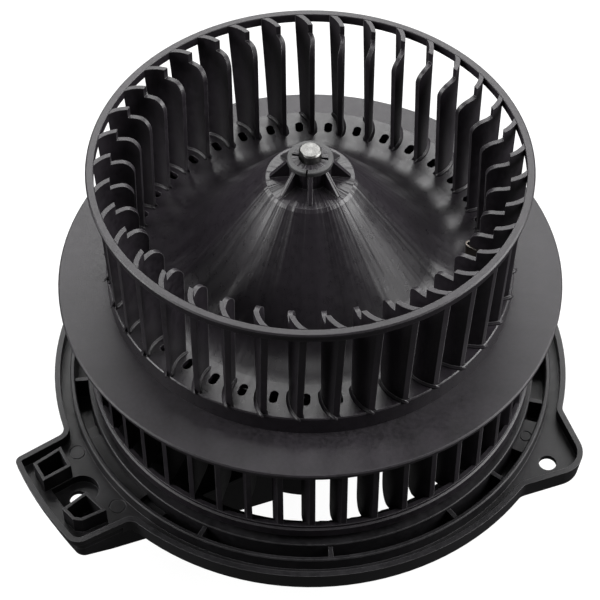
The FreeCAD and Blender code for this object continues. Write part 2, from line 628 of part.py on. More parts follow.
def make_windings():
    """Copper of all the coils: conductors in the slots and the end turns over each face."""
    ends = [revolved([(8.0, CORE_Z[1] + 0.6), (20.0, CORE_Z[1] + 0.6),
                      ((19.4, CORE_Z[1] + 5.0), (15.0, CORE_Z[1] + 7.6)), (9.0, CORE_Z[1] + 6.6)]),
            revolved([(8.0, CORE_Z[0] - 0.6), (20.0, CORE_Z[0] - 0.6),
                      ((19.2, CORE_Z[0] - 4.4), (15.0, CORE_Z[0] - 6.8)), (10.2, CORE_Z[0] - 6.0)])]
    bars = [turned(disc(SLOT_R - 0.25, CORE_Z[0] - 2, CORE_Z[1] + 2, SLOT_AT), 360.0 / SLOTS * step)
            for step in range(SLOTS)]
    return ends[0].multiFuse([ends[1]] + bars)


def make_commutator_bars():
    """Copper bars with a riser at their upper end."""
    solids = []
    for step in range(SLOTS):
        angle = 360.0 / SLOTS * (step + 0.5)
        bar = sector(BAR_R, BAR_INNER_R, BAR_Z[0], BAR_Z[1], angle, 13.8)
        riser = sector(BAR_R + 1.4, BAR_R - 1, BAR_Z[1] - 1.4, BAR_Z[1], angle, 7.0)
        solids.append(bar.fuse(riser))
    return Part.makeCompound(solids)


def make_brush(angle):
    body = box(0, BRUSH_TAIL, -BRUSH_WIDTH / 2, BRUSH_WIDTH / 2, BRUSH_Z[0], BRUSH_Z[1])
    body = body.cut(disc(BAR_R + 0.05, -30, 30))
    return turned(body, angle)


def make_brush_holders():
    """Brass boxes, folded from sheet, with feet on the card."""
    solids = []
    clear = 0.08
    wide = BRUSH_WIDTH / 2 + clear + HOLDER_WALL
    for angle in (90, 270):
        low = CARD_Z[1]
        outer = box(HOLDER_RANGE[0], HOLDER_RANGE[1], -wide, wide, low, BRUSH_Z[1] + clear + HOLDER_WALL)
        inner = box(HOLDER_RANGE[0] - 1, HOLDER_RANGE[1] - HOLDER_WALL, -BRUSH_WIDTH / 2 - clear,
                    BRUSH_WIDTH / 2 + clear, BRUSH_Z[0] - clear, BRUSH_Z[1] + clear)
        slot = box(HOLDER_RANGE[0] + 3, HOLDER_RANGE[1] - 3, -0.7, 0.7, BRUSH_Z[1], BRUSH_Z[1] + 4)
        feet = box(HOLDER_RANGE[0] + 2, HOLDER_RANGE[1] - 2, -wide - 2.4, wide + 2.4, low, low + 0.8)
        solids.append(turned(outer.fuse(feet).cut(inner).cut(slot), angle))
    return Part.makeCompound(solids)


def make_brush_springs():
    """Compression springs between each brush and the back of its holder."""
    solids = []
    length = HOLDER_RANGE[1] - HOLDER_WALL - BRUSH_TAIL - 0.6
    middle = (BRUSH_Z[0] + BRUSH_Z[1]) / 2
    for angle in (90, 270):
        helix = Part.makeHelix(length / 3.0, length, 1.9)
        start = Part.Wire(Part.makeCircle(0.3, V(1.9, 0, 0), V(0, 1, 0)))
        coil = Part.Wire(helix).makePipeShell([start], True, True)
        coil.rotate(V(0, 0, 0), V(0, 1, 0), 90)
        coil.translate(V(BRUSH_TAIL + 0.3, 0, middle))
        solids.append(turned(coil, angle))
    return Part.makeCompound(solids)


def make_card():
    card = ring(CARD_R, BAR_R + 1.9, CARD_Z[0], CARD_Z[1])
    cuts = []
    for angle in MOTOR_SCREW_ANGLES:
        cuts.append(turned(disc(2.6, -20, -10, MOTOR_SCREW_AT), angle))
    for side in (-1, 1):
        cuts.append(turned(box(13.7, 14.7, side * 4.4 - 3.3, side * 4.4 + 3.3, -30, -10),
                           EAR_ANGLES["duct"] + 180))
    return card.cut(Part.makeCompound(cuts))


def make_chokes():
    """Two suppression coils: a ferrite rod in a close winding, lying on the card."""
    solids = []
    for angle in (180, 322):
        low = CARD_Z[1] + 2.9
        rod = Part.makeCylinder(1.6, 14, V(0, -7, low), V(0, 1, 0))
        turns = [Part.makeTorus(2.15, 0.55, V(0, -4.4 + 1.1 * step, low), V(0, 1, 0)) for step in range(9)]
        sleeve = Part.makeCylinder(2.3, 10, V(0, -5, low), V(0, 1, 0))
        choke = rod.multiFuse([sleeve] + turns)
        choke.translate(V(20, 0, 0))
        solids.append(turned(choke, angle))
    return Part.makeCompound(solids)


def make_connector():
    """Rectangular shroud, open downwards, around the two terminals."""
    outer = box(9.9, 18.9, -9.4, 9.4, -38.0, ISOLATOR_TOP)
    uprights = [edge for edge in outer.Edges if edge.BoundBox.ZLength > 5]
    outer = outer.makeFillet(1.4, uprights)
    inner = box(11.1, 17.7, -8.2, 8.2, -39.0, ISOLATOR_TOP - 1.6)
    latch = box(18.4, 19.9, -2.5, 2.5, -36.0, -34.4)
    shell = outer.fuse(latch).cut(inner)
    blades = [box(13.7, 14.7, side * 4.4 - 3.3, side * 4.4 + 3.3, -40, 0) for side in (-1, 1)]
    return turned(shell.cut(Part.makeCompound(blades)), EAR_ANGLES["duct"] + 180)


def make_terminals():
    solids = []
    for side in (-1, 1):
        blade = box(13.8, 14.6, side * 4.4 - 3.15, side * 4.4 + 3.15, -36.2, -14.6)
        ends = [edge for edge in blade.Edges
                if edge.BoundBox.ZMax < -36.1 and edge.BoundBox.YLength > 6]
        blade = blade.makeChamfer(0.25, ends)
        solids.append(turned(blade, EAR_ANGLES["duct"] + 180))
    return Part.makeCompound(solids)


def make_shaft():
    shaft = disc(SHAFT_R, SHAFT_BOTTOM, SHAFT_TOP)
    ends = [edge for edge in shaft.Edges if edge.BoundBox.ZLength < 0.01]
    shaft = shaft.makeChamfer(0.6, ends)
    flat = box(SHAFT_FLAT, 10, -10, 10, SHAFT_FLAT_BOTTOM, SHAFT_TOP + 1)
    return shaft.cut(turned(flat, SHAFT_FLAT_ANGLE))


# ---- Wheel -----------------------------------------------------------------------------------
def arc_centre(outer, middle, inner):
    """Centre and radius of the circle through three points."""
    circle = Part.Circle(outer, middle, inner)
    return circle.Center, circle.Radius


def blade_band(section, thickness, low, high):
    """Curved blade section as an arc band, before its edges are trimmed, for the blade at 0 degrees."""
    outer_r, middle_r, inner_r, middle_turn, inner_turn = section
    outer = polar(outer_r, 0)
    inner = polar(inner_r, inner_turn)
    centre, radius = arc_centre(outer, polar(middle_r, middle_turn), inner)
    start = math.degrees(math.atan2(outer.y - centre.y, outer.x - centre.x))
    end = math.degrees(math.atan2(inner.y - centre.y, inner.x - centre.x))
    while end > start:
        end -= 360
    margin = 16
    turns = [start + margin, (start + end) / 2, end - margin / 3]
    half = thickness / 2

    def on(arc_radius, angle):
        return V(centre.x, centre.y, low) + polar(arc_radius, angle)

    big = [on(radius + half, angle) for angle in turns]
    small = [on(radius - half, angle) for angle in turns]
    edges = [Part.Arc(*big).toShape(), Part.makeLine(big[2], small[2]),
             Part.Arc(*reversed(small)).toShape(), Part.makeLine(small[0], big[0])]
    return Part.Face(Part.Wire(edges)).extrude(V(0, 0, high - low))


UPPER_SECTION = (RING_INNER_R, 68.6, UPPER_INNER_R, -3.6, -3.75)
LOWER_SECTION = (LOWER_OUTER_R, 76.5, LOWER_INNER_R, -2.35, -1.6)


def make_upper_blades():
    """The 37 blades of the upper tier, which stand on the hub and meet the inside of the ring."""
    band = blade_band(UPPER_SECTION, UPPER_BLADE_THICKNESS, PETAL_TOP, RING_TOP)
    rounded = UPPER_CORNER_R * (1 - math.sqrt(0.5))
    allowed = revolved([(UPPER_FOOT_INNER_R, PETAL_TOP), (UPPER_FOOT_OUTER_R, PETAL_TOP),
                        (RING_INNER_R, RING_BOTTOM), (RING_INNER_R, RING_TOP - EDGE_BREAK),
                        (RING_INNER_R - EDGE_BREAK, RING_TOP), (UPPER_STEP_R, RING_TOP),
                        (UPPER_STEP_R, UPPER_STEP_Z),
                        (UPPER_INNER_R + UPPER_CORNER_R, UPPER_STEP_Z),
                        ((UPPER_INNER_R + rounded, UPPER_STEP_Z - rounded),
                         (UPPER_INNER_R, UPPER_STEP_Z - UPPER_CORNER_R))])
    blade = band.common(allowed)
    return spaced(blade, UPPER_FIRST, UPPER_BLADES)


def make_upper_ring():
    return revolved([(RING_INNER_R, RING_BOTTOM), (RING_R - 0.5, RING_BOTTOM),
                     (RING_R - 0.5, RING_TOP - 1.5),
                     (RING_R, RING_TOP - 1.3), (RING_R, RING_TOP - 0.5), (RING_R - 0.5, RING_TOP),
                     (RING_INNER_R + EDGE_BREAK, RING_TOP), (RING_INNER_R, RING_TOP - EDGE_BREAK)])


def cone_profile():
    """Top line of the hub from the dish to the petals, as (radius, z) points of its side and flare."""
    x0, z0 = CONE_LINE_START
    run = CONE_LINE_FOOT_R - x0
    drop = z0 - PETAL_TOP
    slope = math.atan2(drop, run)
    back = CONE_FLARE_R * math.tan(slope / 2)
    length = math.hypot(run, drop)
    start = (CONE_LINE_FOOT_R - back * run / length, PETAL_TOP + back * drop / length)
    end = (CONE_LINE_FOOT_R + back, PETAL_TOP)
    centre = (end[0], PETAL_TOP + CONE_FLARE_R)
    half_turn = math.radians(-90) - slope / 2
    middle = (centre[0] + CONE_FLARE_R * math.cos(half_turn), centre[1] + CONE_FLARE_R * math.sin(half_turn))
    return start, middle, end, slope, centre


def make_wheel_hub():
    """Collar, gussets, cone, the flat part that carries the upper blades, and the wall below its edge."""
    start, middle, end, slope, centre = cone_profile()
    shift_r = -CONE_THICKNESS * math.sin(slope)
    shift_z = -CONE_THICKNESS * math.cos(slope)
    under = CONE_FLARE_R + CONE_THICKNESS

    def under_point(turn):
        return (centre[0] + under * math.cos(turn), centre[1] + under * math.sin(turn))

    inner_start = (start[0] + shift_r, start[1] + shift_z)
    inner_middle = under_point(math.radians(-90) - slope / 2)
    inner_end = (centre[0], PETAL_TOP - CONE_THICKNESS)
    riser_in = PETAL_R - 1.5
    top_start = (CONE_LINE_START[0] + shift_r, CONE_LINE_START[1] + shift_z)
    hub = revolved([(COLLAR_R - 1, DISH_Z), CONE_SHOULDER, CONE_LINE_START, start, (middle, end),
                    (PETAL_R - 0.4, PETAL_TOP), (PETAL_R, PETAL_TOP - 0.4), (PETAL_R, SHELF_TOP),
                    (riser_in, SHELF_TOP), (riser_in, PETAL_TOP - CONE_THICKNESS), inner_end,
                    (inner_middle, inner_start), top_start, (COLLAR_R - 1, DISH_Z - CONE_THICKNESS)])
    collar = revolved([(SHAFT_R, HUB_TUBE_BOTTOM), (HUB_TUBE_R, HUB_TUBE_BOTTOM),
                       (HUB_TUBE_R, DISH_Z - CONE_THICKNESS + 0.5), (COLLAR_R, DISH_Z), (COLLAR_R, CLAMP_Z),
                       (COLLAR_STEP_R, CLAMP_Z), (COLLAR_STEP_R, COLLAR_TOP), (SHAFT_R, COLLAR_TOP)])
    flat = box(SHAFT_FLAT, SHAFT_R + 1, -3, 3, SHAFT_FLAT_BOTTOM + 1, COLLAR_TOP - 3)
    flat = turned(flat, SHAFT_FLAT_ANGLE).common(disc(SHAFT_R + 0.2, 90, 120))
    pieces = [collar, flat]
    root_r = COLLAR_R - 0.5
    foot_z = DISH_Z - 1
    top_z = CLAMP_Z - 0.2
    corners = [(root_r, foot_z), (root_r, top_z), (COLLAR_R + 0.9, top_z), (GUSSET_REACH, DISH_Z - 0.4),
               (GUSSET_REACH, foot_z), (root_r, foot_z)]
    gusset = Part.Face(Part.makePolygon([V(x, 0, z) for x, z in corners]))
    gusset.translate(V(0, -GUSSET_THICKNESS / 2, 0))
    gusset = gusset.extrude(V(0, GUSSET_THICKNESS, 0))
    pieces += [turned(gusset, -90 + 360.0 / GUSSETS * step) for step in range(GUSSETS)]
    wheel = hub.multiFuse(pieces)
    low, high = PETAL_TOP - 5, PETAL_TOP + 2
    half = (VENT_LENGTH - VENT_WIDTH) / 2
    vent = box(VENT_AT - half, VENT_AT + half, -VENT_WIDTH / 2, VENT_WIDTH / 2, low, high)
    vent = vent.multiFuse([disc(VENT_WIDTH / 2, low, high, VENT_AT - half),
                           disc(VENT_WIDTH / 2, low, high, VENT_AT + half)])
    cuts = [turned(vent, UPPER_FIRST + VENT_TURN + UPPER_PITCH * step) for step in range(UPPER_BLADES)]
    for angle in (170, 350):
        cuts.append(turned(box(SHAFT_R - 0.5, 7.0, -0.5, 0.5, 106.5, COLLAR_TOP + 1), angle))
    return wheel.cut(Part.makeCompound(cuts))


def make_lower_blades():
    """The 46 blades of the lower tier, between the shelf's underside and the lower ring."""
    low, high = LOWER_BLADE_BOTTOM, SHELF_TOP - SHELF_THICKNESS
    band = blade_band(LOWER_SECTION, LOWER_BLADE_THICKNESS, low, high)
    mouth = LOWER_INNER_R + 6.0
    allowed = revolved([(LOWER_INNER_R, high), (LOWER_INNER_R, low + LOWER_BELLMOUTH_R),
                        ((LOWER_INNER_R + 1.6, low + LOWER_BELLMOUTH_R * 0.42), (mouth, low)),
                        (LOWER_RING_INNER_R, low), (LOWER_RING_INNER_R, LOWER_RING_Z[1]),
                        (LOWER_OUTER_R, LOWER_RING_Z[1]), (LOWER_OUTER_R, high)])
    blade = band.common(allowed)
    return spaced(blade, LOWER_FIRST, LOWER_BLADES)


def make_shelf():
    """Flat ring between the tiers, with a low wall that locates the hub on it."""
    under = SHELF_TOP - SHELF_THICKNESS
    return revolved([(SHELF_INNER_R, under), (SHELF_R - 0.5, under), (SHELF_R - 0.5, under + 0.9),
                     (SHELF_R, under + 1.2), (SHELF_R, SHELF_TOP - 0.5), (SHELF_R - 0.5, SHELF_TOP),
                     (PETAL_R - 1.7, SHELF_TOP), (PETAL_R - 1.7, SHELF_TOP + 4.0),
                     (PETAL_R - 3.2, SHELF_TOP + 4.0), (PETAL_R - 3.2, SHELF_TOP),
                     (SHELF_INNER_R, SHELF_TOP)])


def make_lower_ring():
    low, high = LOWER_RING_Z
    return revolved([(LOWER_RING_INNER_R, low), (LOWER_RING_R, low), (LOWER_RING_R, high - 1.6),
                     (LOWER_RING_R - 0.7, high - 1.3), (LOWER_RING_R - 0.7, high),
                     (LOWER_RING_INNER_R, high)])


def make_clamp():
    """Split spring ring pressed over the slotted collar."""
    clamp = revolved([(COLLAR_STEP_R, CLAMP_Z), (CLAMP_R, CLAMP_Z), (CLAMP_R, COLLAR_TOP - 0.3),
                      (CLAMP_R - 0.3, COLLAR_TOP), (COLLAR_STEP_R, COLLAR_TOP)])
    return clamp.cut(turned(box(4, 10, -0.35, 0.35, 100, 120), -99))


def make_balance_clip():
    """U-shaped spring clip pushed over the inner edge of one upper blade."""
    low, high = CLIP_Z
    outer_r, middle_r, inner_r, middle_turn, inner_turn = UPPER_SECTION
    end = polar(inner_r, inner_turn)
    centre, radius = arc_centre(polar(outer_r, 0), polar(middle_r, middle_turn), end)
    inside = UPPER_BLADE_THICKNESS / 2
    outside = inside + CLIP_SHEET
    last = math.degrees(math.atan2(end.y - centre.y, end.x - centre.x) - CLIP_BEND_GAP / radius)
    half_turn = math.degrees(CLIP_LEG / radius) / 2
    bend = centre + polar(radius, last)

    def legs(half):
        band = sector(radius + half, radius - half, low, high, last + half_turn, half_turn)
        band.translate(centre)
        return band

    clip = legs(outside).fuse(disc(outside, low, high, bend.x, bend.y))
    clip = clip.cut(legs(inside)).cut(disc(inside, low, high, bend.x, bend.y))
    return turned(clip, UPPER_FIRST + UPPER_PITCH * CLIP_BLADE)


def make_spacer():
    return ring(5.6, SHAFT_R, CORE_Z[1] + 0.6, 50.2)


def make_thrust_washers():
    upper = ring(6.4, SHAFT_R, 50.2, 50.8)
    lower = ring(5.6, SHAFT_R, -20.0, -19.2)
    return Part.makeCompound([upper, lower])


def make_commutator_hub():
    return ring(BAR_INNER_R, SHAFT_R, BAR_Z[0] - 0.2, BAR_Z[1] + 3.0)


flange = make_flange()
write(flange.cut(disc(INNER_WALL_R, -60, 30)), "mounting_flange")
write(flange.common(ring(INNER_WALL_R, CUP_R, -60, 30)), "inlet_frame")
write(flange.common(disc(CUP_R, -60, 30)), "motor_cup")
write(make_duct_cover(), "duct_cover")
write(make_duct_screws(), "duct_screws")
write(make_motor_screws(), "motor_screws")
write(make_isolators(), "isolator_washers")
write(make_isolator_ring(), "isolator_ring")
write(make_can(), "motor_can")
write(make_end_cap(), "end_cap")
write(make_bearing(UPPER_BEARING_Z), "upper_bearing")
write(make_bearing(LOWER_BEARING_Z), "lower_bearing")
write(make_retainer(51.0, 8.2), "upper_bearing_retainer")
write(make_retainer(-20.7, 7.6), "lower_bearing_retainer")
write(make_magnet(0), "magnet_right")
write(make_magnet(180), "magnet_left")
write(make_magnet_springs(), "magnet_springs")
write(make_card(), "brush_card")
write(make_brush_holders(), "brush_holders")
write(make_brush(90), "brush_rear")
write(make_brush(270), "brush_front")
write(make_brush_springs(), "brush_springs")
write(make_chokes(), "suppression_chokes")
write(make_connector(), "connector_shell")
write(make_terminals(), "terminal_blades")
write(make_shaft(), "motor_shaft")
write(make_core(CORE_Z[0], CORE_Z[1], SHAFT_R), "armature_core")
write(make_slot_insulators(), "slot_insulators")
write(make_windings(), "armature_windings")
write(make_commutator_bars(), "commutator_bars")
write(make_commutator_hub(), "commutator_hub")
write(make_spacer(), "armature_spacer")
write(make_thrust_washers(), "thrust_washers")
write(make_wheel_hub(), "wheel_hub")
write(make_upper_blades(), "upper_blades")
write(make_upper_ring(), "upper_ring")
write(make_shelf(), "wheel_shelf")
write(make_lower_blades(), "lower_blades")
write(make_lower_ring(), "lower_ring")
write(make_clamp(), "collar_clamp")
write(make_balance_clip(), "balance_clip")
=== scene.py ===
"""Looks of the blower motor wheel: finishes, moulding detail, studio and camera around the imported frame."""

import json
import math

import bmesh
import bpy
from mathutils import Matrix, Vector


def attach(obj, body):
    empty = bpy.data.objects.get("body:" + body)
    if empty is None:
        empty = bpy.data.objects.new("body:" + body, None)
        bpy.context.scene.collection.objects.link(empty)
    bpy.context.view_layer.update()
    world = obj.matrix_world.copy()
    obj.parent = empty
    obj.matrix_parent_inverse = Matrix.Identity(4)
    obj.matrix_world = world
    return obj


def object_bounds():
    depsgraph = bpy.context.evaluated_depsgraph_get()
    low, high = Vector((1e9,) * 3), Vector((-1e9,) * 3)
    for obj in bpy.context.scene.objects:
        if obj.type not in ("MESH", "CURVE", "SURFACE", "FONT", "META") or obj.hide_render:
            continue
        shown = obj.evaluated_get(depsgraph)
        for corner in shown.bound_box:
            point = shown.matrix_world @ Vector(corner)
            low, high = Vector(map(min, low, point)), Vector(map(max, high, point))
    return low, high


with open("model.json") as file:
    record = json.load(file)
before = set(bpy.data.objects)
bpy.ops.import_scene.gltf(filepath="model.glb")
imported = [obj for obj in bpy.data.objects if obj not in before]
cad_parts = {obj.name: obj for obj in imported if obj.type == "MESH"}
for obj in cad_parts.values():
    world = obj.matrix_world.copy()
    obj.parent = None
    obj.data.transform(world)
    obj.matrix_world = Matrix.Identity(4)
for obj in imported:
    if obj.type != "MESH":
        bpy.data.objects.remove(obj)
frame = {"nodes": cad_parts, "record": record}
cad_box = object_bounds()
MM = 0.001

# Blade roots, in millimetres and degrees: first is the first blade's direction, points are three (radius,
# turn) places along its middle line, leg is the fillet's width, and rise its height in legs (negative: down)
BLADE_ROOTS = {
    "upper_blade_fillets": dict(count=37, first=-91.6, points=((75.2, 0.0), (68.6, -3.6), (61.6, -3.75)),
                                half=0.825, foot_z=61.0, leg=1.1, rise=1.2),
    "lower_blade_fillets": dict(count=46, first=-89.4, points=((83.4, 0.0), (76.5, -2.35), (70.5, -1.6)),
                                half=0.75, foot_z=50.4, leg=0.7, rise=-1.0),
}
FILLET_SECTION = ((0.0, 0.0), (1.0, 0.0), (0.42, 0.20), (0.16, 0.52), (0.0, 1.0))   # shares of leg and rise
FILLET_STEPS = 10
FILLET_START = 0.05       # shares of the blade's length
FILLET_LENGTH = 0.93
FADE_RATE = 9             # how fast a fillet grows from its ends
FADE_LEFT = 0.15          # share of its size left at the inner end
SUNK = 0.03               # how far a fillet reaches into the blade and the floor

# Studio, in metres: (name, place, aimed height, width, height, power in watts)
SOFTBOXES = (
    ("softbox_rear", (0.0, 1.1, 1.0), 0.05, 1.6, 0.8, 23.0),
    ("softbox_right", (1.1, 0.05, 0.75), 0.06, 0.9, 0.9, 26.0),
    ("softbox_left", (-1.2, -0.1, 0.8), 0.06, 0.8, 0.8, 20.0),
    ("softbox_top", (0.1, -0.1, 1.5), 0.06, 0.8, 0.8, 3.0),
)
WORLD_STRENGTH = 0.06
BACKDROP = ((2.6, 0.0), (2.85, 0.06), (3.0, 0.3), (3.0, 3.0))   # (radius, rise) of its rings
BACKDROP_STEPS = 96
FLOOR_GAP = 0.0005        # between the floor and the lowest piece
FLOOR_GLOW = 0.96

# Camera: its place in metres and its axes, lens and sensor in millimetres
CAMERA_AT = (0.0, -0.483125, 0.613159)
RIGHT = Vector((0.99998716, 0.0036791, -0.00348588))
UP = Vector((-0.000585269, 0.767012872, 0.641631446))
FORWARD = Vector((-0.00503434, 0.64162116, -0.76700517))
FOCAL_LENGTH = 120.393
SENSOR_WIDTH = 36.0

# Sockets of the Mix node
MIX_FLOATS = (2, 3)
MIX_COLOURS = (6, 7)
MIDDLE_SCALE = 9          # the middle noise is this much finer than the broad one
BEVEL_SAMPLES = 6


# ---- Node materials ---------------------------------------------------------------------------
def add(tree, kind, inputs=None, **settings):
    """A shader node with its settings and its inputs, each a constant or another node's socket."""
    node = tree.nodes.new(kind)
    for key, value in settings.items():
        setattr(node, key, value)
    for key, value in (inputs or {}).items():
        if isinstance(value, bpy.types.NodeSocket):
            tree.links.new(value, node.inputs[key])
        else:
            node.inputs[key].default_value = value
    return node


def noise(tree, coords, scale, detail=3.0, roughness=0.55):
    node = add(tree, "ShaderNodeTexNoise", {"Vector": coords, "Scale": scale, "Detail": detail,
                                            "Roughness": roughness})
    return node.outputs[0]


def spread(tree, value, low, high, from_low=0.3, from_high=0.7):
    node = add(tree, "ShaderNodeMapRange", {"Value": value, "From Min": from_low, "From Max": from_high,
                                            "To Min": low, "To Max": high})
    return node.outputs[0]


def blend_colours(tree, factor, dark, light):
    node = add(tree, "ShaderNodeMix", {0: factor}, data_type="RGBA")
    for place, colour in zip(MIX_COLOURS, (dark, light)):
        if isinstance(colour, bpy.types.NodeSocket):
            tree.links.new(colour, node.inputs[place])
        else:
            node.inputs[place].default_value = (*colour, 1.0)
    return node.outputs[2]


def radial_coords(tree, coords, around, along):
    """Coordinates that vary with the direction round the axis and a little with the radius."""
    vectors = "ShaderNodeVectorMath"
    flat = add(tree, vectors, {0: coords, 1: (1.0, 1.0, 0.0)}, operation="MULTIPLY").outputs[0]
    unit = add(tree, vectors, {0: flat}, operation="NORMALIZE").outputs[0]
    turn = add(tree, vectors, {0: unit, "Scale": around}, operation="SCALE").outputs[0]
    radius = add(tree, vectors, {0: flat}, operation="LENGTH").outputs["Value"]
    rise = add(tree, "ShaderNodeMath", {0: radius, 1: along}, operation="MULTIPLY").outputs[0]
    lift = add(tree, "ShaderNodeCombineXYZ", {"Z": rise}).outputs[0]
    return add(tree, vectors, {0: turn, 1: lift}, operation="ADD").outputs[0]


def bumped(tree, height, normal, depth):
    """The normal with a bump of that depth in millimetres added."""
    node = add(tree, "ShaderNodeBump", {"Height": height, "Normal": normal, "Strength": 1.0,
                                        "Distance": depth * MM})
    return node.outputs[0]


def make_material(name, dark, light, rough, metallic=0.0, mottle=45.0, grain=2600.0, grain_depth=0.02,
                  ripple=None, edge_highlight=0.0, edge_radius=0.35, edge_highlight_colour=None, specular=0.5, streak=None,
                  anisotropic=0.0):
    """A surface whose colour, roughness and bump all vary; its edges are rounded and may be lightened with a
    painted highlight.

    rough is (lowest, highest); mottle and grain are noise scales; the edges' share sets how much of their
    painted highlight colour shows there.
    ripple is (scale, depth in mm) of broad waviness; streak is (around, along, share of a painted radial
    sheen in the colour, depth in mm of its bump).
    """
    material = bpy.data.materials.new(name)
    material.use_nodes = True
    tree = material.node_tree
    shader = tree.nodes["Principled BSDF"]
    coords = add(tree, "ShaderNodeTexCoord").outputs["Object"]
    broad = noise(tree, coords, mottle, detail=5.0, roughness=0.6)
    fine = noise(tree, coords, grain, detail=2.0, roughness=0.6)
    middle = noise(tree, coords, mottle * MIDDLE_SCALE, roughness=0.6)
    both = add(tree, "ShaderNodeMath", {0: broad, 1: middle}, operation="ADD").outputs[0]
    share = spread(tree, both, 0.0, 1.0, from_low=0.75, from_high=1.25)
    # Radial bands mixed into the colour are a painted sheen for soft radial highlights; the same noise also
    # makes a real bump below.
    if streak:
        around, along, painted_sheen_share, streak_depth = streak
        sheen_and_bump_rays = noise(tree, radial_coords(tree, coords, around, along), 1.0)
        first, second = MIX_FLOATS
        painted_sheen_streaks = spread(tree, sheen_and_bump_rays, 0.0, 1.0)
        inputs = {0: painted_sheen_share, first: share, second: painted_sheen_streaks}
        share = add(tree, "ShaderNodeMix", inputs, data_type="FLOAT").outputs[0]
    colour = blend_colours(tree, share, dark, light)
    surface = add(tree, "ShaderNodeBevel", {"Radius": edge_radius * MM}, samples=BEVEL_SAMPLES).outputs[0]
    # Painted highlight: the colour is lightened where the rounded normal leans away from the face, standing
    # in for light caught by the edges.
    if edge_highlight:
        normal = add(tree, "ShaderNodeNewGeometry").outputs["Normal"]
        likeness = add(tree, "ShaderNodeVectorMath", {0: surface, 1: normal}, operation="DOT_PRODUCT")
        edge_highlight_mask = spread(tree, likeness.outputs["Value"], edge_highlight, 0.0, from_low=0.8, from_high=0.995)
        colour = blend_colours(tree, edge_highlight_mask, colour, edge_highlight_colour)
    tree.links.new(colour, shader.inputs["Base Color"])
    rough_share = add(tree, "ShaderNodeMath", {0: middle, 1: fine}, operation="ADD").outputs[0]
    tree.links.new(spread(tree, rough_share, *rough, from_low=0.7, from_high=1.3), shader.inputs["Roughness"])
    if ripple:
        ripple_scale, ripple_depth = ripple
        waves = noise(tree, coords, ripple_scale, detail=2.0, roughness=0.5)
        surface = bumped(tree, waves, surface, ripple_depth)
    if streak:
        surface = bumped(tree, sheen_and_bump_rays, surface, streak_depth)
    surface = bumped(tree, fine, surface, grain_depth)
    tree.links.new(surface, shader.inputs["Normal"])
    shader.inputs["Metallic"].default_value = metallic
    shader.inputs["Specular IOR Level"].default_value = specular
    shader.inputs["Anisotropic"].default_value = anisotropic
    return material


# The lighter colour set for the edges of the plastics is a painted highlight along them.
PLASTIC = dict(dark=(0.0080, 0.0066, 0.0086), light=(0.0200, 0.0168, 0.0212), rough=(0.34, 0.50),
               edge_highlight=0.75, edge_highlight_colour=(0.160, 0.155, 0.162), edge_radius=0.28)
FINISHES = {
    "wheel_plastic": dict(PLASTIC, grain_depth=0.026),
    "flange_plastic": dict(PLASTIC, dark=(0.007, 0.0066, 0.0076), light=(0.017, 0.0162, 0.018),
                           specular=0.36),
    "clamp_plastic": dict(PLASTIC, dark=(0.030, 0.030, 0.031), light=(0.052, 0.052, 0.053), mottle=220.0,
                          rough=(0.45, 0.6), edge_radius=0.2),
    "shaft_steel": dict(dark=(0.09, 0.09, 0.088), light=(0.24, 0.238, 0.23), rough=(0.30, 0.46), metallic=1.0,
                        mottle=260.0, grain_depth=0.004, anisotropic=0.4),
    "zinc_steel": dict(dark=(0.36, 0.37, 0.38), light=(0.58, 0.58, 0.57), rough=(0.32, 0.5), metallic=1.0,
                       mottle=160.0, grain_depth=0.012),
    # The bright colour set for its edges is a painted highlight along them.
    "spring_steel": dict(dark=(0.055, 0.047, 0.040), light=(0.13, 0.115, 0.10), rough=(0.26, 0.42),
                         metallic=0.9, mottle=300.0, grain_depth=0.006, edge_highlight=0.9,
                         edge_highlight_colour=(0.62, 0.60, 0.56), edge_radius=0.15),
    "screw_steel": dict(dark=(0.30, 0.30, 0.30), light=(0.52, 0.52, 0.50), rough=(0.28, 0.45), metallic=1.0,
                        mottle=300.0, grain_depth=0.008, edge_radius=0.15),
    "bearing_bronze": dict(dark=(0.27, 0.16, 0.07), light=(0.48, 0.30, 0.14), rough=(0.4, 0.58), metallic=1.0,
                           mottle=300.0, grain_depth=0.02),
    "brass": dict(dark=(0.52, 0.37, 0.14), light=(0.76, 0.58, 0.26), rough=(0.24, 0.4), metallic=1.0,
                  mottle=240.0, grain_depth=0.006, edge_radius=0.12),
    "copper": dict(dark=(0.55, 0.24, 0.12), light=(0.83, 0.42, 0.25), rough=(0.22, 0.36), metallic=1.0,
                   mottle=240.0, grain_depth=0.006, edge_radius=0.12),
    "enamelled_copper": dict(dark=(0.22, 0.055, 0.018), light=(0.55, 0.19, 0.07), rough=(0.22, 0.4),
                             metallic=0.7, mottle=420.0, grain=1400.0, grain_depth=0.16),
    "ferrite": dict(dark=(0.028, 0.028, 0.030), light=(0.060, 0.060, 0.062), rough=(0.55, 0.75), mottle=200.0,
                    grain_depth=0.03),
    "lamination_steel": dict(dark=(0.19, 0.19, 0.20), light=(0.34, 0.34, 0.33), rough=(0.35, 0.52),
                             metallic=1.0, mottle=260.0, grain_depth=0.03),
    "card_fibre": dict(dark=(0.19, 0.105, 0.05), light=(0.33, 0.20, 0.10), rough=(0.5, 0.7), mottle=220.0,
                       grain_depth=0.03),
    "slot_fibre": dict(dark=(0.30, 0.06, 0.045), light=(0.46, 0.11, 0.08), rough=(0.5, 0.68), mottle=220.0,
                       grain_depth=0.03),
    "brush_carbon": dict(dark=(0.020, 0.020, 0.021), light=(0.055, 0.053, 0.052), rough=(0.38, 0.6),
                         metallic=0.3, mottle=400.0, grain_depth=0.02),
    "thrust_nylon": dict(dark=(0.60, 0.58, 0.52), light=(0.76, 0.74, 0.68), rough=(0.35, 0.5), mottle=200.0,
                         grain_depth=0.01),
    "isolator_rubber": dict(dark=(0.010, 0.010, 0.010), light=(0.022, 0.022, 0.022), rough=(0.66, 0.85),
                            mottle=180.0, grain_depth=0.04, specular=0.35),
}
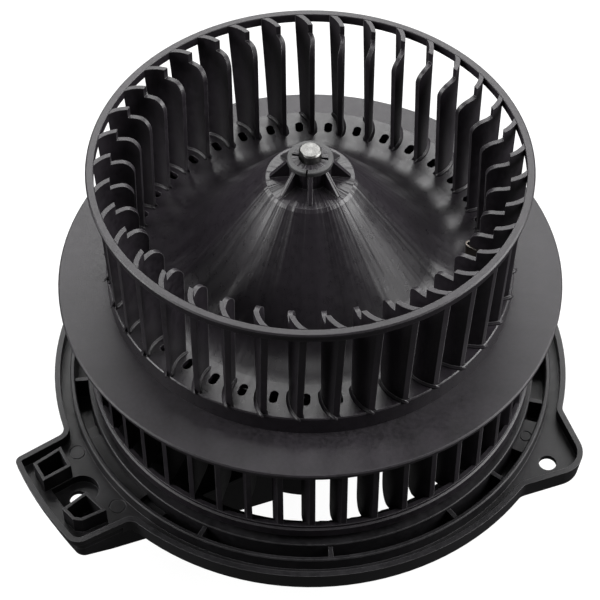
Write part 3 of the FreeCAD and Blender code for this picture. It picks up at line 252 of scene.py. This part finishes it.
NODE_FINISHES = {
    # The hub's streak paints a radial sheen into its colour as well as bumping it.
    "wheel_hub": dict(FINISHES["wheel_plastic"], streak=(3.6, 5.0, 0.55, 0.9), rough=(0.26, 0.40)),
    "wheel_shelf": dict(FINISHES["wheel_plastic"], rough=(0.40, 0.54), mottle=75.0, ripple=(60.0, 0.05)),
    "upper_ring": dict(FINISHES["wheel_plastic"], mottle=150.0),
    "mounting_flange": dict(FINISHES["flange_plastic"], ripple=(45.0, 0.06)),
}
materials = {name: make_material(name, **finish) for name, finish in FINISHES.items()}
for part in frame["record"]["subparts"]:
    node, slot_name = part["node"], part["material_slot"]
    if node in NODE_FINISHES:
        finish = make_material(slot_name + "_" + node, **NODE_FINISHES[node])
    else:
        finish = materials[slot_name]
    mesh = frame["nodes"][node].data
    mesh.materials.clear()
    mesh.materials.append(finish)


# ---- Moulding detail --------------------------------------------------------------------------
def polar(radius, degrees, z=0.0):
    turn = math.radians(degrees)
    return Vector((radius * math.cos(turn), radius * math.sin(turn), z))


def arc_through(first, middle, last):
    """Centre, radius, start angle and end angle in radians of the arc through three points in plan."""
    ax, ay, bx, by, cx, cy = first.x, first.y, middle.x, middle.y, last.x, last.y
    twice = 2 * (ax * (by - cy) + bx * (cy - ay) + cx * (ay - by))
    a2, b2, c2 = ax * ax + ay * ay, bx * bx + by * by, cx * cx + cy * cy
    x = (a2 * (by - cy) + b2 * (cy - ay) + c2 * (ay - by)) / twice
    y = (a2 * (cx - bx) + b2 * (ax - cx) + c2 * (bx - ax)) / twice
    start = math.atan2(ay - y, ax - x)
    end = math.atan2(cy - y, cx - x)
    if end > start:
        end -= 2 * math.pi
    return Vector((x, y, 0)), math.hypot(ax - x, ay - y), start, end


def root_fillets(name, count, first, points, half, foot_z, leg, rise):
    """Small concave fillets along both faces of every blade at its root."""
    centre, radius, start, end = arc_through(*[polar(*point) for point in points])
    made = bmesh.new()
    for blade in range(count):
        turn = Matrix.Rotation(math.radians(first + blade * 360.0 / count), 3, "Z")
        for side in (1, -1):
            rings = []
            for step in range(FILLET_STEPS + 1):
                share = FILLET_START + FILLET_LENGTH * step / FILLET_STEPS
                angle = start + (end - start) * share
                fade = min(1.0, (1 - share) * FADE_RATE + FADE_LEFT, share * FADE_RATE)
                ring = []
                for out, up in FILLET_SECTION:
                    away = radius + side * (half - SUNK + leg * out * fade)
                    spot = centre + Vector((math.cos(angle), math.sin(angle), 0)) * away
                    spot.z = foot_z + rise * up * fade * leg - math.copysign(SUNK, rise)
                    ring.append(made.verts.new(turn @ spot * MM))
                rings.append(ring)
            for near, far in zip(rings, rings[1:]):
                for place in range(len(FILLET_SECTION)):
                    after = (place + 1) % len(FILLET_SECTION)
                    made.faces.new((near[place], near[after], far[after], far[place]))
            made.faces.new(rings[0])
            made.faces.new(list(reversed(rings[-1])))
    bmesh.ops.recalc_face_normals(made, faces=made.faces)
    mesh = bpy.data.meshes.new(name)
    made.to_mesh(mesh)
    made.free()
    for face in mesh.polygons:
        face.use_smooth = True
    piece = bpy.data.objects.new(name, mesh)
    bpy.context.scene.collection.objects.link(piece)
    mesh.materials.append(materials["wheel_plastic"])
    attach(piece, "rotor")


for fillets_name, blade_root in BLADE_ROOTS.items():
    root_fillets(fillets_name, **blade_root)


# ---- Studio -----------------------------------------------------------------------------------
def make_floor(z):
    """A pale floor whose far edge curves up into a backdrop all round."""
    mesh = bpy.data.meshes.new("studio_floor")
    made = bmesh.new()
    rings = []
    for radius, rise in BACKDROP:
        places = [polar(radius, 360.0 * step / BACKDROP_STEPS, z + rise) for step in range(BACKDROP_STEPS)]
        rings.append([made.verts.new(place) for place in places])
    made.faces.new(rings[0])
    for lower, upper in zip(rings, rings[1:]):
        for here in range(BACKDROP_STEPS):
            beyond = (here + 1) % BACKDROP_STEPS
            made.faces.new((lower[here], lower[beyond], upper[beyond], upper[here]))
    made.to_mesh(mesh)
    made.free()
    floor = bpy.data.objects.new("studio_floor", mesh)
    bpy.context.scene.collection.objects.link(floor)
    material = bpy.data.materials.new("pale_floor")
    material.use_nodes = True
    tree = material.node_tree
    shader = tree.nodes["Principled BSDF"]
    coords = add(tree, "ShaderNodeTexCoord").outputs["Object"]
    cloud = noise(tree, coords, 3.0, detail=4.0, roughness=0.5)
    colour = blend_colours(tree, cloud, (0.10, 0.10, 0.10), (0.13, 0.13, 0.13))
    tree.links.new(colour, shader.inputs["Base Color"])
    tree.links.new(spread(tree, cloud, 0.8, 0.9), shader.inputs["Roughness"])
    bump = add(tree, "ShaderNodeBump", {"Height": cloud, "Strength": 0.05, "Distance": MM}).outputs[0]
    tree.links.new(bump, shader.inputs["Normal"])
    shader.inputs["Emission Color"].default_value = (1.0, 1.0, 1.0, 1.0)
    shader.inputs["Emission Strength"].default_value = FLOOR_GLOW
    mesh.materials.append(material)
    floor.visible_glossy = False
    floor.visible_diffuse = False
    floor.visible_shadow = False


def softbox(name, place, aimed_height, width, height, power):
    light = bpy.data.lights.new(name, "AREA")
    light.shape = "RECTANGLE"
    light.size = width
    light.size_y = height
    light.energy = power
    lamp = bpy.data.objects.new(name, light)
    bpy.context.scene.collection.objects.link(lamp)
    lamp.location = place
    aim = Vector((0.0, 0.0, aimed_height)) - Vector(place)
    lamp.rotation_euler = aim.to_track_quat("-Z", "Y").to_euler()


make_floor(cad_box[0].z - FLOOR_GAP)
for box in SOFTBOXES:
    softbox(*box)

world = bpy.data.worlds.new("studio")
world.use_nodes = True
background = world.node_tree.nodes["Background"]
background.inputs["Color"].default_value = (1.0, 1.0, 1.0, 1.0)
background.inputs["Strength"].default_value = WORLD_STRENGTH
bpy.context.scene.world = world
bpy.context.scene.view_settings.view_transform = "Standard"

# ---- Camera -----------------------------------------------------------------------------------
lens = bpy.data.cameras.new("camera")
lens.lens = FOCAL_LENGTH
lens.sensor_width = SENSOR_WIDTH
camera = bpy.data.objects.new("camera", lens)
bpy.context.scene.collection.objects.link(camera)
facing = Matrix((RIGHT, UP, -FORWARD)).transposed().to_4x4()
camera.matrix_world = Matrix.Translation(CAMERA_AT) @ facing
bpy.context.scene.camera = camera
